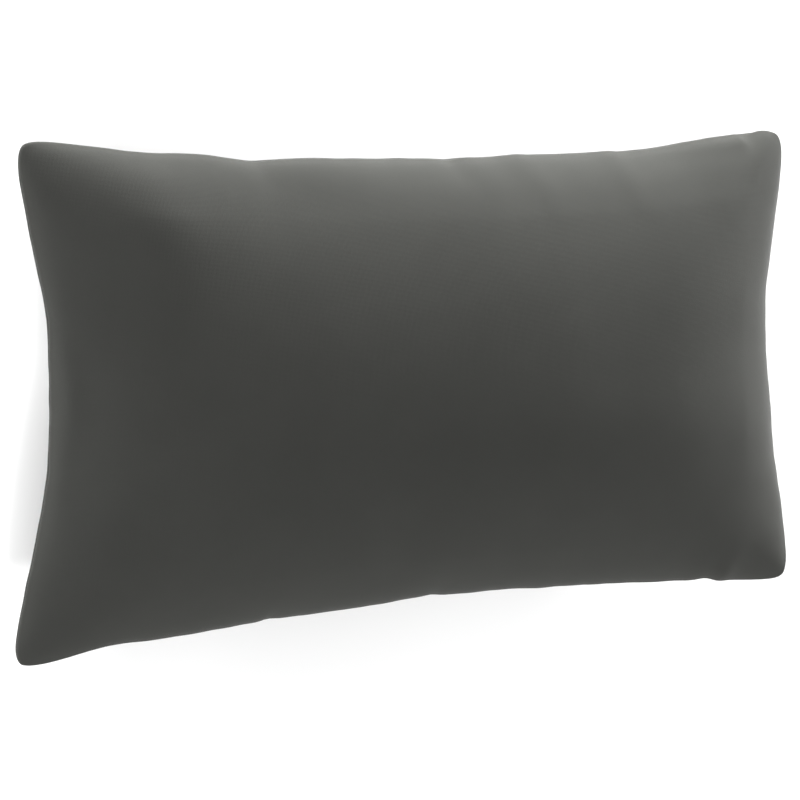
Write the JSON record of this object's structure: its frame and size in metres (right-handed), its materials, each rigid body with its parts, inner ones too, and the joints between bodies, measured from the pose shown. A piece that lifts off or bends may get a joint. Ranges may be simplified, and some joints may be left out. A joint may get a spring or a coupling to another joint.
{
  "type": "back cushion",
  "caption": "Rectangular filled back cushion in plain dark grey cloth, with crowned panels, drawn-in sides, a knife-edge seam and soft rounded corners.",
  "frame": {"origin": "middle of the cushion's outline, on the surface that its back rests on", "axes": "+X along the cushion's width, +Y towards the edge that is its top in use, +Z out of its face"},
  "size_m": [0.5034, 0.2986, 0.0995],
  "materials": {
    "cloth": "plain dark warm grey cloth with a short soft pile and a matt face that lightens where it turns away"
  },
  "bodies": {
    "root": {"cushion": "cloth"}
  },
  "joints": []
}
